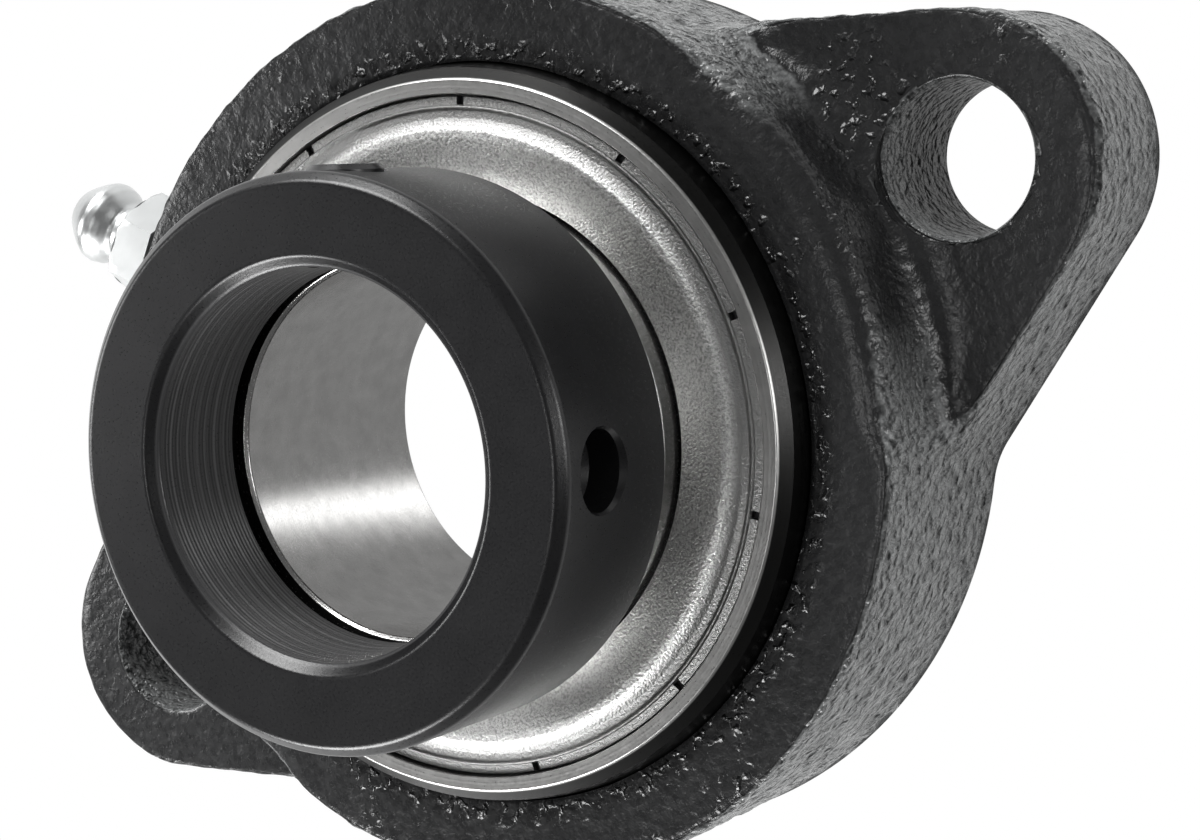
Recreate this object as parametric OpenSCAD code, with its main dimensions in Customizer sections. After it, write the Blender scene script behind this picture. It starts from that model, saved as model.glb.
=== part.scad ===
// Two-bolt flange bearing with an eccentric locking collar, 30 mm bore.
// Millimetres. The origin is the middle of the mounting face, on the shaft's line.
// +Z runs along the shaft towards the collar and +X towards one bolt hole.

/* [Housing] */
// Distance between the two bolt holes
bolt_spacing = 90.5; // [86:0.5:98]
// Diameter of a bolt hole, cast for an M10 bolt
bolt_hole_d = 12.4; // [10:0.2:13.6]
// Thickness of the boss's wall round the seat, at the mounting face
boss_wall = 6.6; // [5.9:0.1:9]
// Height of the boss face above the mounting face
boss_h = 21.75; // [20:0.25:23.5]
// Draft of the boss's side, in degrees
boss_draft = 0.5; // [0:0.25:2]
// Radius of the boss's front edge
boss_edge = 1.5; // [1:0.25:2.5]
// Thickness of the two lugs
lug_t = 13.5; // [10:0.25:15]
// Radius of a lug's round end
lug_r = 11.8; // [10.8:0.1:13]
// Angle between a lug's flank and the line through the bolts, in degrees
flank_angle = 28; // [25:0.5:31]
// Radius of the lugs' upper edge
lug_edge = 1.6; // [0.5:0.1:2.5]
// Radius in the corner between a flank and the boss
root_r = 8; // [5:0.5:12]
// Radius in the corner between a lug's face and the boss
crown_r = 4; // [2:0.5:6]

/* [Outer ring] */
// Distance from the balls' circle out to the spherical seat
outer_wall = 8; // [7.6:0.1:8.6]
// Height of the seat's centre above the mounting face
seat_z = 16.5; // [16:0.1:17]
// Gap between the cage and a seal, which sets the outer ring's width
cage_room = 0.3875; // [0.3:0.0125:0.8]
// Running clearance between the seat and the ring, on the radius
seat_gap = 0.03; // [0.02:0.01:0.08]
// Chamfer of the ring's outer edges
ring_edge = 0.75; // [0.4:0.05:1.2]
// Distance from the balls' circle out to the ring's land beside the balls
outer_land = 2.6; // [2.2:0.1:3]
// Depth of the recess that holds a seal and a shield
recess_depth = 2; // [1.8:0.1:2.3]
// Wall between that recess and the ring's chamfer
recess_wall = 1.15; // [0.9:0.05:1.4]

/* [Balls and cage] */
// Number of balls
ball_count = 9; // [7:1:9]
// Diameter of a ball
ball_d = 9.525; // [9:0.025:9.6]
// Diameter of the circle through the balls' centres
pitch_d = 46; // [45.5:0.1:46.2]
// Gap between a ball and the bottom of a raceway
race_gap = 0.02; // [0.01:0.01:0.05]
// Raceway radius over ball radius
race_ratio = 1.04; // [1.02:0.01:1.08]
// Thickness of the cage's steel
cage_t = 0.7; // [0.5:0.05:0.8]
// Width of the cage's ribbon
cage_w = 2.8; // [2.2:0.1:3.4]
// Play between a ball and its pocket
pocket_gap = 0.15; // [0.05:0.05:0.25]
// Diameter of a cage rivet
rivet_d = 1.2; // [0.8:0.1:1.4]

/* [Inner ring] */
// Distance from the balls' circle in to the shaft's bore
inner_wall = 8; // [7.5:0.1:9]
// Length of the inner ring
inner_l = 23.8; // [23:0.1:25]
// Distance from the balls back to the ring's rear end
inner_back = 7.6; // [7:0.1:7.9]
// Distance from the balls' circle in to the ring's outside beside the balls
inner_land = 2.8; // [2.6:0.1:3.2]
// Height of that outside above the outer ring's face
inner_land_h = 1.5; // [0.8:0.1:2.5]
// Mean thickness of the eccentric cam round the bore
cam_wall = 3.3; // [2.9:0.1:3.6]
// Distance of the cam's centre from the shaft's line
cam_offset = 0.8; // [0.4:0.1:1.1]
// Chamfer at each end of the bore
bore_edge = 0.7; // [0.3:0.1:1]

/* [Locking collar] */
// Thickness of the collar round the bore
collar_wall = 7.25; // [6.75:0.05:8]
// Length of the collar
collar_l = 15.5; // [14.5:0.1:16.5]
// Length of the whole insert, from the inner ring's back to the collar's front
insert_l = 35.7; // [35.2:0.1:36.5]
// Clearance of the collar on the cam and on the shaft, on the radius
collar_gap = 0.05; // [0.02:0.01:0.1]
// Gap between the inner ring's front end and the recess behind the collar's land
recess_gap = 1; // [0.5:0.1:1.5]
// Chamfer of the collar's front edge
collar_edge = 1; // [0.5:0.1:1.5]
// Angle of the set screw about the shaft, from the +X bolt
screw_angle = 61; // [0:1:90]
// Diameter of the set screw
screw_d = 6; // [5:0.5:6.5]
// Gap between the screw's point and the shaft
screw_gap = 0.85; // [0.3:0.05:1.2]
// How far the screw stands out of the collar
screw_proud = 0.4; // [0:0.1:0.6]
// Distance from the collar's front face to the screw's and the drift hole's lines
hole_inset = 5.8; // [5:0.1:6.5]
// Diameter of the blind hole for a drift
drift_d = 6.2; // [5:0.1:6.6]
// Depth of the blind hole at its rim
drift_depth = 3.2; // [2:0.1:4]

/* [Shields and seals] */
// Thickness of a shield's steel
shield_t = 0.55; // [0.4:0.05:0.6]
// Number of tabs round a shield's rim
tab_count = 11; // [8:1:14]
// Width of the slit between two tabs
tab_slit = 0.65; // [0.4:0.05:0.9]
// Angle of the first slit from the +X bolt
tab_phase = 26; // [0:1:32]
// Width of a tab along the radius
tab_w = 1.05; // [0.8:0.05:1.2]
// Height of the shield's shoulder above its rim
shoulder_h = 0.5; // [0.2:0.05:0.8]
// Distance from the shield's recess in to its shoulder
shoulder_in = 3.1; // [2.8:0.1:3.5]
// Drop of the dish from its shoulder to its inner edge
dish_drop = 1.1; // [0.6:0.1:1.3]
// Gap between a shield and the inner ring
shield_gap = 0.3; // [0.2:0.05:0.5]
// Thickness of a rubber seal
seal_t = 0.8; // [0.6:0.05:0.9]
// Clearance of the seal's lip on the inner ring
lip_gap = 0.05; // [0.02:0.01:0.1]

/* [Grease nipple] */
// Angle of the nipple about the shaft, from the +X bolt
nipple_angle = 128; // [110:1:140]
// Height of the nipple's line above the seat's centre
nipple_rise = 1; // [0:0.1:1.2]
// Width across the flats of the nipple's hexagon
hex_af = 8.5; // [7:0.5:9]
// Height of the hexagon
hex_h = 3.6; // [3:0.1:4]
// Diameter of the nipple's head
head_d = 7.6; // [6.4:0.1:8]
// Distance from the nipple's seat to its tip
nipple_h = 10.6; // [10:0.1:11.2]
// Diameter of the nipple's shank
shank_d = 6; // [5:0.25:6]
// Length of the nipple's shank
shank_l = 5; // [4:0.25:5.5]
// Depth of the flat that the nipple sits on
spot_depth = 0.3; // [0.2:0.05:0.6]
// Diameter of the check ball
check_d = 2; // [1.6:0.1:2.2]
// Travel of the check ball
check_travel = 0.6; // [0.3:0.1:0.8]

/* [Hidden] */
$fn = 96;

iron = "#2f3031";
ground_steel = "#b9bbbd";
pressed_steel = "#8f9193";
black_oxide = "#232425";
nitrile = "#1c1c1d";
zinc = "#c9cccd";

// Sizes and places that follow from the sizes above
seat_r = pitch_d / 2 + outer_wall;
seat_d = 2 * seat_r;
boss_r = seat_r + boss_wall;
boss_d = 2 * boss_r;
outer_land_r = pitch_d / 2 + outer_land;
ring_w = 2 * (ball_d / 2 + pocket_gap + cage_t + cage_room + recess_depth);
inner_land_r = pitch_d / 2 - inner_land;
bore_d = pitch_d - 2 * inner_wall;
cam_r = bore_d / 2 + cam_wall;
collar_d = bore_d + 2 * collar_wall;
screw_l = collar_wall + screw_proud - screw_gap;
ring_r = seat_r - seat_gap;
ring_front = seat_z + ring_w / 2;
ring_edge_r = sqrt(ring_r * ring_r - ring_w * ring_w / 4);
recess_r = ring_edge_r - ring_edge - recess_wall;
shoulder_r = recess_r - shoulder_in;
recess_floor = ring_front - recess_depth;
inner_rear_z = seat_z - inner_back;
inner_front_z = inner_rear_z + inner_l;
collar_front_z = inner_rear_z + insert_l;
collar_rear_z = collar_front_z - collar_l;
land_end_z = inner_front_z + recess_gap;
hole_z = collar_front_z - hole_inset;
collar_bore_r = bore_d / 2 + collar_gap;
ball_r = ball_d / 2;
race_r = ball_r * race_ratio;
race_shift = race_r - ball_r - race_gap;
small = 0.01;
hair = 0.05;

// Points of an arc about a centre, from one angle to another
function arc(c, r, from, to, steps = 6) =
    [for (i = [0 : steps]) let (a = from + (to - from) * i / steps)
        [c[0] + r * cos(a), c[1] + r * sin(a)]];

// Radius of the drafted boss at a height
function boss_at(z) = boss_r - z * tan(boss_draft);

// The lug's flank, on its outer side, a hair inside the round end so that the two cross
flank_normal = [sin(flank_angle), cos(flank_angle)];
flank_end = [bolt_spacing / 2, 0] + (lug_r - hair) * flank_normal;
flank_reach = flank_end * flank_normal;
root_turn = acos((flank_reach + root_r) / (boss_r + root_r));
root_centre = (boss_r + root_r) * [cos(90 - flank_angle - root_turn), sin(90 - flank_angle - root_turn)];
root_on_flank = root_centre - root_r * flank_normal;
root_on_boss = root_centre * boss_r / (boss_r + root_r);

module ring(r_in, r_out, z0, z1) {
    translate([0, 0, z0]) difference() {
        cylinder(r = r_out, h = z1 - z0);
        translate([0, 0, -1]) cylinder(r = r_in, h = z1 - z0 + 2);
    }
}

// Round boss with a drafted side and a rounded front edge
module boss() {
    rotate_extrude() polygon(concat(
        [[0, 0], [boss_r, 0]],
        arc([boss_at(boss_h) - boss_edge, boss_h - boss_edge], boss_edge, boss_draft, 90),
        [[0, boss_h]]));
}

// A bar whose outer side is one flank, with the lug's rounded upper edge
module flank_bar() {
    length = 2 * bolt_spacing;
    translate(concat(flank_end, [0])) rotate([0, 0, -flank_angle]) rotate([90, 0, -90])
        translate([0, 0, -length / 2]) linear_extrude(length) polygon(concat(
            [[bolt_spacing, 0], [0, 0]],
            arc([lug_edge, lug_t - lug_edge], lug_edge, 180, 90),
            [[bolt_spacing, lug_t]]));
}

// The fill in the corner between a flank and the boss
module root_fill() {
    cut_r = root_r + hair;
    difference() {
        linear_extrude(lug_t) polygon([root_on_flank, root_centre, root_on_boss, 0.85 * root_on_boss,
            0.85 * root_on_flank]);
        translate([root_centre[0], root_centre[1], -1]) rotate_extrude() polygon(concat(
            [[0, 0], [cut_r, 0]],
            arc([cut_r + lug_edge, lug_t + 1 - lug_edge], lug_edge, 180, 90),
            [[cut_r + lug_edge, lug_t + 2], [0, lug_t + 2]]));
    }
}

// One lug, from inside the boss to its round end
module lug() {
    inside = boss_r / 2;
    inside_y = (flank_reach - inside * flank_normal[0]) / flank_normal[1];
    // the round end is a hair thinner, so that its edge crosses the flanks' edges cleanly
    translate([bolt_spacing / 2, 0, 0]) rotate_extrude() polygon(concat(
        [[0, 0], [lug_r, 0]],
        arc([lug_r - lug_edge, lug_t - small - lug_edge], lug_edge, 0, 90),
        [[0, lug_t - small]]));
    intersection() {
        linear_extrude(lug_t) polygon([[inside, -inside_y], [flank_end[0], -flank_end[1]],
            flank_end, [inside, inside_y]]);
        flank_bar();
        mirror([0, 1, 0]) flank_bar();
    }
    root_fill();
    mirror([0, 1, 0]) root_fill();
    crown_fill();
}

// The fill between a lug's face and the side of the boss
module crown_fill() {
    foot_r = boss_at(lug_t) + crown_r;
    half_w = (flank_reach - foot_r * flank_normal[0]) / flank_normal[1] - lug_edge;
    intersection() {
        rotate_extrude() polygon(concat(
            [[boss_at(boss_h) - boss_edge, lug_t / 2], [foot_r, lug_t / 2]],
            arc([foot_r, lug_t + crown_r], crown_r, 270, 180)));
        translate([0, -half_w, 0]) cube([bolt_spacing, 2 * half_w, boss_h]);
    }
}

module housing() {
    slot_half = ring_w / 2 + 0.3;
    seat_back = seat_z - ring_w / 2 - 2;
    mouth_r = sqrt(seat_r * seat_r - (seat_z - seat_back) * (seat_z - seat_back));
    color(iron) difference() {
        union() {
            boss();
            lug();
            rotate([0, 0, 180]) lug();
        }
        // spherical seat, and the clear mouth behind it
        translate([0, 0, seat_z]) sphere(r = seat_r);
        translate([0, 0, -1]) cylinder(r = mouth_r, h = seat_back + 1);
        translate([0, 0, -small]) cylinder(r1 = mouth_r + 1, r2 = mouth_r, h = 1);
        // two loading slots on the mounting side, as wide as the ring
        intersection() {
            translate([-slot_half, -boss_r, -1]) cube([2 * slot_half, boss_d, seat_z + 1]);
            translate([0, 0, -1]) cylinder(r = seat_r + 0.2, h = seat_z + 1);
        }
        // bolt holes
        for (side = [-1, 1]) translate([side * bolt_spacing / 2, 0, -1])
            cylinder(d = bolt_hole_d, h = lug_t + 2);
        // flat, thread and passage for the grease nipple
        on_nipple(0) cylinder(r = hex_af * 0.75, h = boss_d);
        on_nipple(-shank_l) cylinder(d = shank_d, h = boss_d);
        on_nipple(-boss_r + seat_r / 2) cylinder(d = check_d, h = boss_r);
    }
}

// Places its children on the nipple's line, at a distance outwards from its seat
module on_nipple(out) {
    height = seat_z + nipple_rise;
    rotate([0, 0, nipple_angle]) translate([boss_at(height) - spot_depth + out, 0, height])
        rotate([0, 90, 0]) children();
}

module outer_ring() {
    groove_w = 3;
    groove_depth = 0.6;
    color(ground_steel) difference() {
        translate([0, 0, seat_z]) intersection() {
            sphere(r = ring_r);
            translate([0, 0, -ring_w / 2]) cylinder(r = seat_r, h = ring_w);
        }
        translate([0, 0, seat_z]) for (flip = [0, 1]) mirror([0, 0, flip]) {
            // chamfer of the outer edge, then the recess for the seal and the shield
            rotate_extrude() polygon([[ring_edge_r - ring_edge, ring_w / 2 + small],
                [ring_edge_r + ring_edge, ring_w / 2 + small],
                [ring_edge_r + ring_edge, ring_w / 2 - 1.5 * ring_edge]]);
            translate([0, 0, ring_w / 2 - recess_depth]) cylinder(r = recess_r, h = recess_depth + 1);
        }
        cylinder(r = outer_land_r, h = ring_front + 1);
        translate([0, 0, seat_z]) rotate_extrude() translate([pitch_d / 2 - race_shift, 0]) circle(r = race_r);
        // grease groove round the outside, and its two holes
        ring(ring_r - groove_depth, seat_r + 1, seat_z - groove_w / 2, seat_z + groove_w / 2);
        rotate([0, 0, nipple_angle]) translate([-seat_r, 0, seat_z]) rotate([0, 90, 0])
            cylinder(r = 1, h = seat_d);
    }
}

module inner_ring() {
    land_z = ring_front + inner_land_h;
    land_edge = 0.6;
    color(ground_steel) difference() {
        union() {
            ring(bore_d / 2 - 1, inner_land_r, inner_rear_z, land_z - land_edge);
            translate([0, 0, land_z - land_edge - small])
                cylinder(r1 = inner_land_r, r2 = inner_land_r - land_edge, h = land_edge + small);
            translate([cam_offset, 0, land_z - small]) cylinder(r = cam_r, h = inner_front_z - land_z + small);
        }
        translate([0, 0, inner_rear_z - 1]) cylinder(d = bore_d, h = inner_l + 2);
        bore_chamfer(inner_front_z, bore_d / 2, bore_edge);
        mirror([0, 0, 1]) bore_chamfer(-inner_rear_z, bore_d / 2, bore_edge);
        translate([0, 0, seat_z]) rotate_extrude() translate([pitch_d / 2 + race_shift, 0]) circle(r = race_r);
    }
}

// Cuts the edge of a bore of radius r that opens upwards at height z
module bore_chamfer(z, r, edge) {
    translate([0, 0, z - edge]) cylinder(r1 = r, r2 = r + edge + small, h = edge + small);
}

module at_balls() {
    for (i = [1 : ball_count]) at_ball(i) children();
}

module at_ball(i) {
    rotate([0, 0, 360 / ball_count * (i - 1)]) translate([pitch_d / 2, 0, seat_z]) children();
}

module ball(i) {
    color(zinc) at_ball(i) sphere(r = ball_r);
}

// One pressed half of the cage: flat webs between pockets that cup the balls
module cage_half() {
    pocket_r = ball_r + pocket_gap;
    intersection() {
        ring(pitch_d / 2 - cage_w / 2, pitch_d / 2 + cage_w / 2, seat_z, seat_z + pocket_r + 2 * cage_t);
        difference() {
            union() {
                translate([0, 0, seat_z - 1]) cylinder(r = pitch_d / 2 + cage_w, h = cage_t + 1);
                at_balls() sphere(r = pocket_r + cage_t);
            }
            at_balls() sphere(r = pocket_r);
            at_rivets() translate([0, 0, -1]) cylinder(d = rivet_d, h = cage_t + 2);
        }
    }
}

module cage_front() {
    color(pressed_steel) cage_half();
}

module cage_rear() {
    color(pressed_steel) translate([0, 0, 2 * seat_z]) mirror([0, 0, 1]) cage_half();
}

// The rivets' places, halfway between the balls
module at_rivets() {
    rotate([0, 0, 180 / ball_count]) at_balls() children();
}

module cage_rivets() {
    head_h = 0.35;
    color(pressed_steel) at_rivets() {
        translate([0, 0, -cage_t - head_h]) cylinder(d = 1.7 * rivet_d, h = head_h);
        translate([0, 0, -cage_t - small]) cylinder(d = rivet_d, h = 2 * cage_t + 2 * small);
        translate([0, 0, cage_t]) cylinder(d = 1.7 * rivet_d, h = head_h);
    }
}

// A stamped steel dish: a rim of tabs in the ring's recess, a rounded shoulder
// and a shallow cone down to the inner ring
module shield() {
    rim_top = ring_front - 0.25;
    rim_r = recess_r - 0.15;
    tab_in = rim_r - tab_w;
    edge_r = tab_in - 0.15;
    top = rim_top + shoulder_h;
    inner_r = inner_land_r + shield_gap;
    bend = 0.9;
    seat = recess_floor + seal_t;
    slope = atan((dish_drop - bend / 4) / (shoulder_r - inner_r));
    upper = concat(
        [[edge_r, rim_top - 0.1], [edge_r - 0.15, rim_top]],
        arc([shoulder_r, top - bend], bend, 50, 90 + slope, 8),
        [[inner_r + 0.15, top - dish_drop], [inner_r, top - dish_drop - 0.15]]);
    lower = [for (i = [len(upper) - 1 : -1 : 1]) [upper[i][0], upper[i][1] - shield_t]];
    difference() {
        rotate_extrude() polygon(concat(
            [[rim_r, seat], [rim_r, rim_top - 0.15], [rim_r - 0.15, rim_top], [tab_in + 0.1, rim_top],
             [tab_in, rim_top - 0.1], [tab_in, rim_top - shield_t], [edge_r, rim_top - shield_t]],
            upper, lower, [[edge_r - shield_t, seat]]));
        for (i = [1 : tab_count]) rotate([0, 0, tab_phase + 360 / tab_count * i])
            translate([tab_in, -tab_slit / 2, rim_top - shield_t]) cube([seat_r, tab_slit, ring_w]);
    }
}

module front_shield() {
    color(pressed_steel) shield();
}

module rear_shield() {
    color(pressed_steel) translate([0, 0, 2 * seat_z]) mirror([0, 0, 1]) shield();
}

// A rubber washer clamped under the shield, with a lip that turns to the inner ring
module seal() {
    lip_r = inner_land_r + lip_gap;
    outer_r = recess_r - 0.1;
    rotate_extrude() polygon([[outer_r, recess_floor], [outer_r, recess_floor + seal_t],
        [lip_r + 2, recess_floor + seal_t], [lip_r + 1.2, recess_floor + 0.35 * seal_t],
        [lip_r + 0.15, recess_floor + 0.4 * seal_t], [lip_r, recess_floor + 0.25 * seal_t],
        [lip_r + 0.3, recess_floor]]);
}

module front_seal() {
    color(nitrile) seal();
}

module rear_seal() {
    color(nitrile) translate([0, 0, 2 * seat_z]) mirror([0, 0, 1]) seal();
}

module on_screw(r) {
    rotate([0, 0, screw_angle]) translate([r, 0, hole_z]) rotate([0, 90, 0]) children();
}

module locking_collar() {
    collar_r = collar_d / 2;
    rear_edge = 0.5;
    color(black_oxide) difference() {
        rotate_extrude() polygon([[0, collar_rear_z], [collar_r - rear_edge, collar_rear_z],
            [collar_r, collar_rear_z + rear_edge], [collar_r, collar_front_z - collar_edge],
            [collar_r - collar_edge, collar_front_z], [0, collar_front_z]]);
        translate([0, 0, collar_rear_z - 1]) cylinder(r = collar_bore_r, h = collar_l + 2);
        bore_chamfer(collar_front_z, collar_bore_r, 0.9 * collar_edge);
        // eccentric recess that turns on the cam
        translate([cam_offset, 0, collar_rear_z - 1])
            cylinder(r = cam_r + collar_gap, h = land_end_z - collar_rear_z + 1);
        // set screw's hole, then the blind hole for a drift a quarter turn away
        on_screw(0) cylinder(d = screw_d + 2 * collar_gap, h = collar_d);
        rotate([0, 0, -90]) on_screw(collar_r - drift_depth) {
            cylinder(d = drift_d, h = collar_d);
            translate([0, 0, -drift_d / 4]) cylinder(d1 = 0, d2 = drift_d, h = drift_d / 4);
        }
    }
}

module collar_set_screw() {
    outer_end = collar_d / 2 + screw_proud;
    socket = screw_d / 2;
    edge = 0.4;
    color(black_oxide) on_screw(outer_end - screw_l) difference() {
        union() {
            cylinder(d1 = screw_d - 2 * edge, d2 = screw_d, h = edge);
            translate([0, 0, edge]) cylinder(d = screw_d, h = screw_l - 2 * edge);
            translate([0, 0, screw_l - edge]) cylinder(d1 = screw_d, d2 = screw_d - 2 * edge, h = edge);
        }
        // cupped point and hexagon socket
        translate([0, 0, -small]) cylinder(d1 = screw_d / 2, d2 = 0, h = screw_d / 4);
        translate([0, 0, screw_l / 2]) cylinder(d = socket / cos(30), h = screw_l, $fn = 6);
    }
}

neck_z = hex_h + 1.6;
head_z = nipple_h - 2.4;
tip_r = 0.25 * head_d;
passage_r = check_d / 2 + 0.1;
mouth_z = nipple_h - 0.6;

module nipple_body() {
    neck_r = 0.35 * head_d;
    head_round = 0.2 * head_d;
    color(zinc) on_nipple(0) difference() {
        union() {
            translate([0, 0, -shank_l]) cylinder(d = shank_d, h = shank_l);
            intersection() {
                cylinder(d = hex_af / cos(30), h = hex_h, $fn = 6);
                cylinder(r1 = hex_af, r2 = 0.5 * hex_af, h = hex_h);
            }
            rotate_extrude() polygon(concat(
                [[0, hex_h - 1], [0.45 * hex_af, hex_h - 1], [0.45 * hex_af, hex_h], [neck_r, neck_z],
                 [neck_r, neck_z + 0.4]],
                arc([head_d / 2 - head_round, head_z], head_round, -50, 35),
                [[tip_r + 0.4, nipple_h - 0.3], [tip_r, nipple_h], [0, nipple_h]]));
        }
        translate([0, 0, -shank_l - 1]) cylinder(r = passage_r, h = shank_l + 1 + mouth_z - passage_r);
        translate([0, 0, mouth_z - passage_r - small]) cylinder(r1 = passage_r, r2 = 0.3, h = passage_r - 0.3 + small);
        cylinder(r = 0.35 * check_d, h = nipple_h + 1);
    }
}

// The ball rests in the cone below the mouth
check_z = mouth_z - passage_r - check_d / 2 * (sqrt(2) - 1) - 0.1;

module nipple_check_ball() {
    color(ground_steel) on_nipple(check_z) sphere(r = check_d / 2);
}

module nipple_spring() {
    wire_r = 0.14;
    turn_r = passage_r - wire_r - 0.12;
    turns = 6;
    sides = 8;
    steps = 14 * turns;
    bottom = -shank_l + check_travel + 0.2;
    // the top coil meets the ball where the ball is as wide as the coil
    top = check_z - sqrt(pow(check_d / 2 + wire_r, 2) - turn_r * turn_r) - 0.03;
    rise = top - bottom;
    points = [for (i = [0 : steps]) let (a = 360 * turns * i / steps) for (k = [0 : sides - 1])
        let (b = 360 * k / sides, r = turn_r + wire_r * cos(b))
        [r * cos(a), r * sin(a), bottom + rise * i / steps + wire_r * sin(b)]];
    last = steps * sides;
    faces = concat(
        [[for (k = [0 : sides - 1]) k]],
        [for (i = [0 : steps - 1]) for (k = [0 : sides - 1]) let (n = (k + 1) % sides)
            [i * sides + k, (i + 1) * sides + k, (i + 1) * sides + n, i * sides + n]],
        [[for (k = [0 : sides - 1]) last + sides - 1 - k]]);
    color(ground_steel) on_nipple(0) polyhedron(points, faces, convexity = 10);
}

housing();
outer_ring();
inner_ring();
cage_front();
cage_rear();
cage_rivets();
front_shield();
rear_shield();
front_seal();
rear_seal();
locking_collar();
collar_set_screw();
nipple_body();
nipple_check_ball();
nipple_spring();
for (i = [1 : ball_count]) ball(i);
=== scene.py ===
# %% [markdown]
# # A flange bearing, dressed for its portrait
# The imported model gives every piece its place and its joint. This lesson gives the pieces that
# show a finer skin, worked out with numpy, and gives every piece a finish made of nodes.
# Lengths are written in millimetres, as on a drawing, and turned into metres when a mesh is made.
# The finishes work in metres, because Object coordinates do.

# %% Load the frame
import math

import bmesh
import bpy
import numpy as np
from mathutils import Matrix, Vector


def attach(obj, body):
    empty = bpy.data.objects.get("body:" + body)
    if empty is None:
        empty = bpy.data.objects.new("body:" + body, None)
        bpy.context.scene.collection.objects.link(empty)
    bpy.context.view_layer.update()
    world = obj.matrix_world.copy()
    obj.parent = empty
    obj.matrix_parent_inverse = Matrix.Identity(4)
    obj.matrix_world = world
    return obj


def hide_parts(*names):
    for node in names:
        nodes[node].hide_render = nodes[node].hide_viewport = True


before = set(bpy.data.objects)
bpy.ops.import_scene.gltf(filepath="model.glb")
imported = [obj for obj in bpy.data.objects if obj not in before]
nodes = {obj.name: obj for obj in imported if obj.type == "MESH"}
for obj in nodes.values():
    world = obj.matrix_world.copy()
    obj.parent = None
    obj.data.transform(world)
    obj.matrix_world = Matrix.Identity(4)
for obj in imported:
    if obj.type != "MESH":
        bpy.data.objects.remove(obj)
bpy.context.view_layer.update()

MM = 0.001

# %% [markdown]
# ## The drawing's sizes
# An insert bearing is one ball bearing with a round outside, so that it can tip in its housing.
# These are the sizes that several pieces share. The scene can't read the CAD's source, so they
# are written once here, and each piece adds its own beside its outline.

# %% Sizes that several pieces share
SEAT_Z = 16.5  # height of the spherical seat's centre above the mounting face
SEAT_R = 31.0
RING_R = SEAT_R - 0.03  # the outer ring's spherical outside, a running clearance smaller
RING_HALF = 8.0
RING_FRONT, RING_BACK = SEAT_Z + RING_HALF, SEAT_Z - RING_HALF
CAM_R, CAM_SHIFT = 18.3, 0.8  # the cam's centre lies this far from the shaft's line
NIPPLE_AT = math.radians(128)
NIPPLE_Z = SEAT_Z + 1.0
print(f"seat {2 * SEAT_R:.0f} mm across, its centre {SEAT_Z} mm above the mounting face")

# %% [markdown]
# ## Meshes from grids
# A skin here is a grid of points, rows by columns. Turned parts repeat one outline round an axis,
# and the casting carries a changing section round its plan. Both end in the same helper, which
# joins neighbouring points with four-sided faces. Building faces from a grid keeps them even,
# so that light slides over them without dents, where a modelling operator might leave slivers.

# %% Grid to mesh
def grid_faces(rows, cols, close_rows):
    """Faces of a grid that closes round its columns: each joins a point to the next one round
    and to the two above them. close_rows joins the last row to the first one too."""
    r = np.arange(rows if close_rows else rows - 1)[:, None]
    c = np.arange(cols)[None, :]
    r2, c2 = (r + 1) % rows, (c + 1) % cols
    corners = [r * cols + c, r * cols + c2, r2 * cols + c2, r2 * cols + c]
    return np.stack(corners, -1).reshape(-1, 4)


def new_mesh(name, points, faces, sharp=40.0):
    """An object at the origin from points in millimetres, smooth except at edges past an angle."""
    mesh = bpy.data.meshes.new(name)
    mesh.vertices.add(len(points))
    mesh.vertices.foreach_set("co", (points * MM).astype(np.float32).ravel())
    sides = faces.shape[1]
    mesh.loops.add(faces.size)
    mesh.loops.foreach_set("vertex_index", faces.astype(np.int32).ravel())
    mesh.polygons.add(len(faces))
    mesh.polygons.foreach_set("loop_start", np.arange(0, faces.size, sides, dtype=np.int32))
    mesh.update(calc_edges=True)
    mesh.validate()
    mesh.shade_smooth()
    mesh.set_sharp_from_angle(angle=math.radians(sharp))
    obj = bpy.data.objects.new(name, mesh)
    bpy.context.scene.collection.objects.link(obj)
    return obj


# %% [markdown]
# A turned edge is never quite sharp: a tool leaves a tiny round, and that round is what catches
# the light as a thin bright line. So each corner of an outline gets a short curve, with a point
# kept close to either side of it, which stops the smooth shading from bleeding onto the flats.

# %% Outline with softened corners
MOST_OF_EDGE = 0.42  # a corner's curve takes at most this share of the edge beside it
LEAD = 0.35  # the points beside a curve lie this share of its reach away


def soften(corners, steps=4):
    """A closed outline from rows of (r, z, radius, shift). Each corner becomes a curve that starts
    and ends one radius away from it: a(1-s)^2 + 2b s(1-s) + c s^2, with b at the corner."""
    corners = np.array(corners, float)
    here = corners[:, :2]
    to_before, to_after = np.roll(here, 1, 0) - here, np.roll(here, -1, 0) - here
    room_before = np.linalg.norm(to_before, axis=1)
    room_after = np.linalg.norm(to_after, axis=1)
    reach = np.minimum(corners[:, 2], MOST_OF_EDGE * np.minimum(room_before, room_after))[:, None]
    a = here + to_before / room_before[:, None] * reach
    c = here + to_after / room_after[:, None] * reach
    s = np.linspace(0, 1, steps + 1)[None, :, None]
    curve = a[:, None] * (1 - s) ** 2 + 2 * here[:, None] * s * (1 - s) + c[:, None] * s ** 2
    first = a + to_before / room_before[:, None] * (LEAD * reach)
    last = c + to_after / room_after[:, None] * (LEAD * reach)
    points = np.concatenate([first[:, None], curve, last[:, None]], 1)
    shift = np.repeat(corners[:, 3:4], steps + 3, 1)
    return np.concatenate([points, shift[..., None]], -1).reshape(-1, 3)


def along(outline, longest):
    """The outline with points added, so that no step is longer than that length."""
    after = np.roll(outline, -1, 0)
    lengths = np.linalg.norm((after - outline)[:, :2], axis=1)
    parts = np.maximum(1, np.ceil(lengths / longest)).astype(int)
    start = np.repeat(np.arange(len(outline)), parts)
    s = np.concatenate([np.arange(n) / n for n in parts])[:, None]
    return outline[start] * (1 - s) + after[start] * s


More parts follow.
